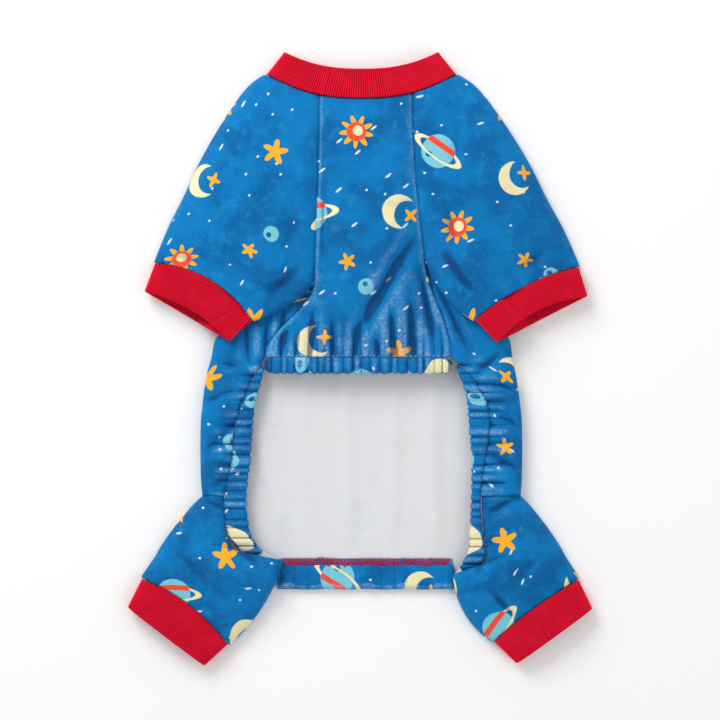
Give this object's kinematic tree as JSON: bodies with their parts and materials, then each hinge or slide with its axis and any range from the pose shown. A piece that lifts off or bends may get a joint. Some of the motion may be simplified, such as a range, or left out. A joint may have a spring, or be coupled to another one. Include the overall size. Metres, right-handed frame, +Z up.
{
  "type": "dog jumpsuit",
  "caption": "Four-legged fleece jumpsuit for a small dog, laid flat on its back, with rib collar and cuffs and an elasticated opening under the belly.",
  "frame": {"origin": "middle of the footprint on the surface that the garment lies on", "axes": "+X across the body, +Y from the tail towards the neck, +Z up out of the belly side"},
  "size_m": [0.3444, 0.457, 0.03],
  "materials": {
    "fleece": "short-pile printed polyester fleece",
    "rib": "doubled cotton rib knit"
  },
  "bodies": {
    "root": {"neck_collar": "rib", "belly_panel": "fleece", "belly_casing": "fleece", "back_panel": "fleece", "side_casing_left": "fleece", "side_casing_right": "fleece", "tail_hem": "fleece", "sleeve_left": "fleece", "sleeve_right": "fleece", "front_cuff_left": "rib", "front_cuff_right": "rib", "leg_left": "fleece", "leg_right": "fleece", "rear_cuff_left": "rib", "rear_cuff_right": "rib"}
  },
  "joints": []
}
